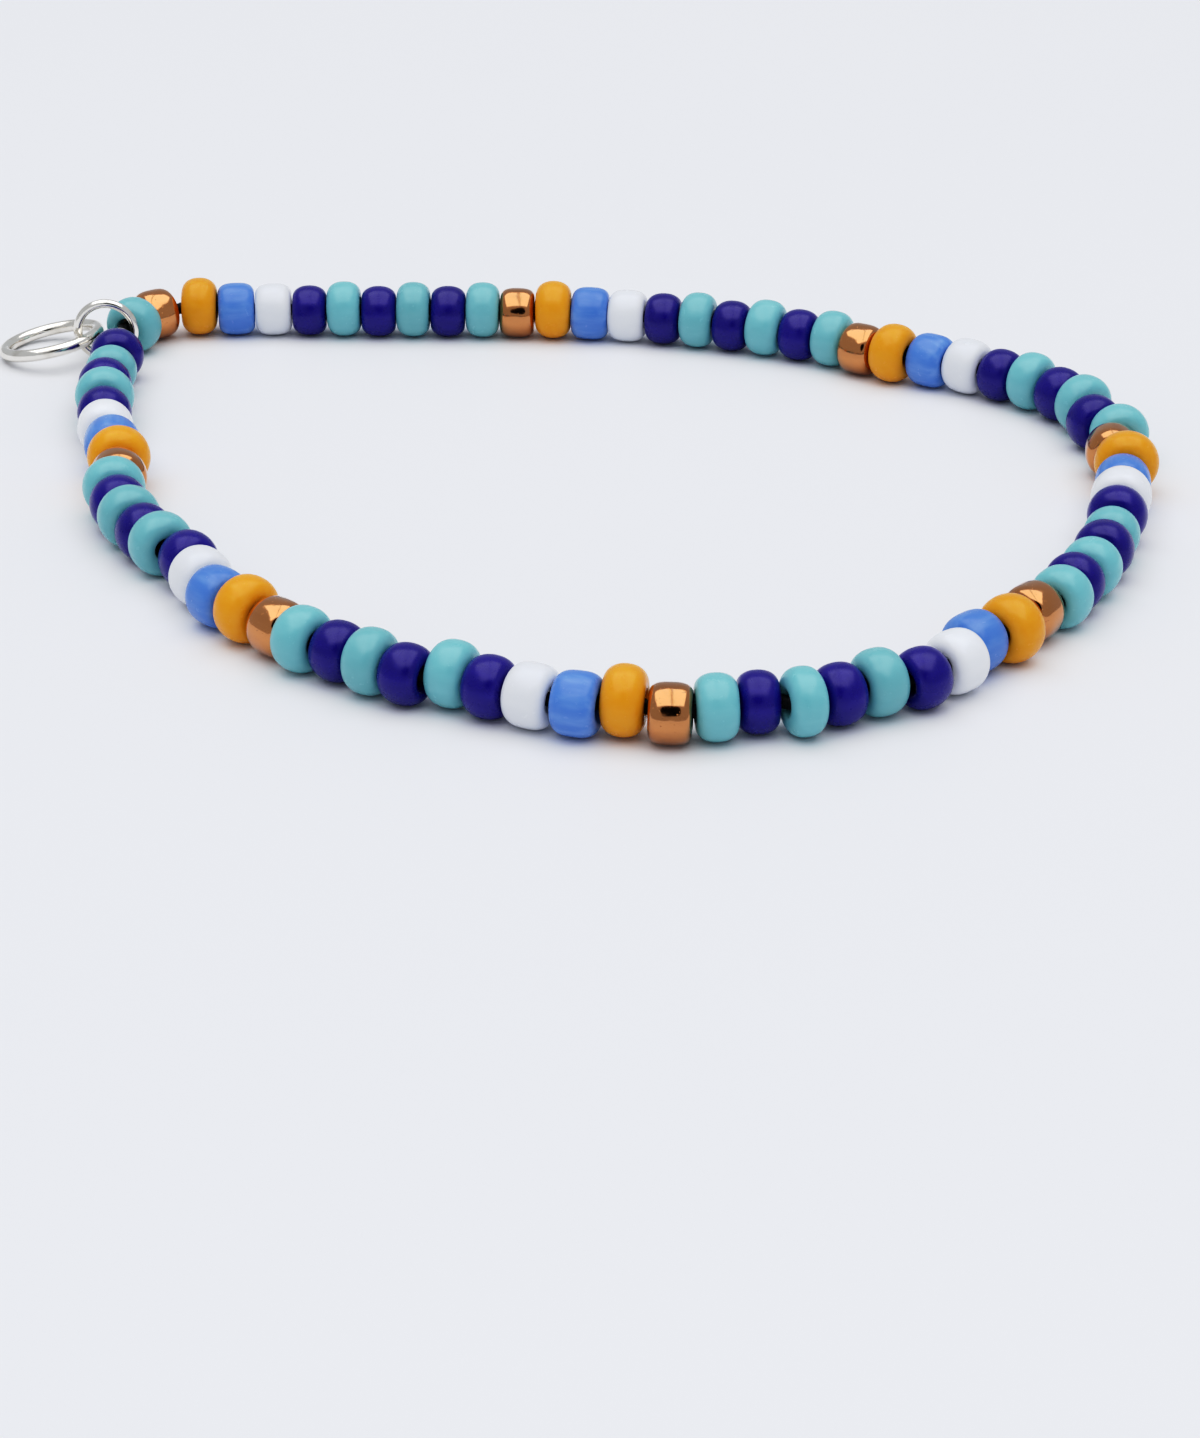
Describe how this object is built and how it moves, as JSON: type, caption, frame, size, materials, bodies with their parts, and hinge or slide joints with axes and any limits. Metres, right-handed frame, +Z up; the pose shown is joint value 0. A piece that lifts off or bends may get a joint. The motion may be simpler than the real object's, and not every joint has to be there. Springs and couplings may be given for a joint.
{
  "type": "beaded charm bracelet",
  "caption": "Loop of small opaque glass seed beads in a repeating colour pattern on a black cord, closed by a crimp, with a plain silver ring charm on a jump ring.",
  "frame": {"origin": "middle of the base of the whole bracelet's box, on the surface it lies on", "axes": "+Z up from the surface, +X along the loop's width to the right, -Y towards the rounded front of the loop, with the join and the charm at the back left"},
  "size_m": [0.0633, 0.0558, 0.0037],
  "materials": {
    "turquoise_glass": "opaque glass, satin gloss",
    "cobalt_glass": "opaque glass, satin gloss",
    "copper_glass": "metallic copper coating on glass, polished",
    "amber_glass": "opaque glass, satin gloss",
    "light_blue_glass": "opaque glass, satin gloss",
    "white_glass": "opaque glass, satin gloss",
    "silver": "polished, slightly warm",
    "black_cord": "matt"
  },
  "bodies": {
    "root": {"beads_01_02": "turquoise_glass", "beads_03_04": "amber_glass", "beads_05_06": "white_glass", "beads_07_08": "turquoise_glass", "beads_09_10": "turquoise_glass", "beads_11_12": "turquoise_glass", "beads_13_14": "amber_glass", "beads_15_16": "white_glass", "beads_17_18": "turquoise_glass", "beads_19_20": "turquoise_glass", "beads_21_22": "turquoise_glass", "beads_23_24": "amber_glass", "beads_25_26": "white_glass", "beads_27_28": "turquoise_glass", "beads_29_30": "turquoise_glass", "beads_31_32": "turquoise_glass", "beads_33_34": "amber_glass", "beads_35_36": "white_glass", "beads_37_38": "turquoise_glass", "beads_39_40": "turquoise_glass", "beads_41_42": "turquoise_glass", "beads_43_44": "amber_glass", "beads_45_46": "white_glass", "beads_47_48": "turquoise_glass", "beads_49_50": "turquoise_glass", "beads_51_52": "turquoise_glass", "beads_53_54": "amber_glass", "beads_55_56": "white_glass", "beads_57_58": "turquoise_glass", "beads_59_60": "turquoise_glass", "beads_61_62": "turquoise_glass", "beads_63_64": "amber_glass", "beads_65_66": "white_glass", "beads_67_68": "turquoise_glass", "beads_69_70": "turquoise_glass", "beads_71_72": "turquoise_glass", "beads_73_74": "amber_glass", "beads_75_76": "white_glass", "beads_77_78": "turquoise_glass", "beads_79_80": "turquoise_glass", "crimp_tube": "silver", "jump_ring": "silver", "charm_ring": "silver"}
  },
  "joints": []
}
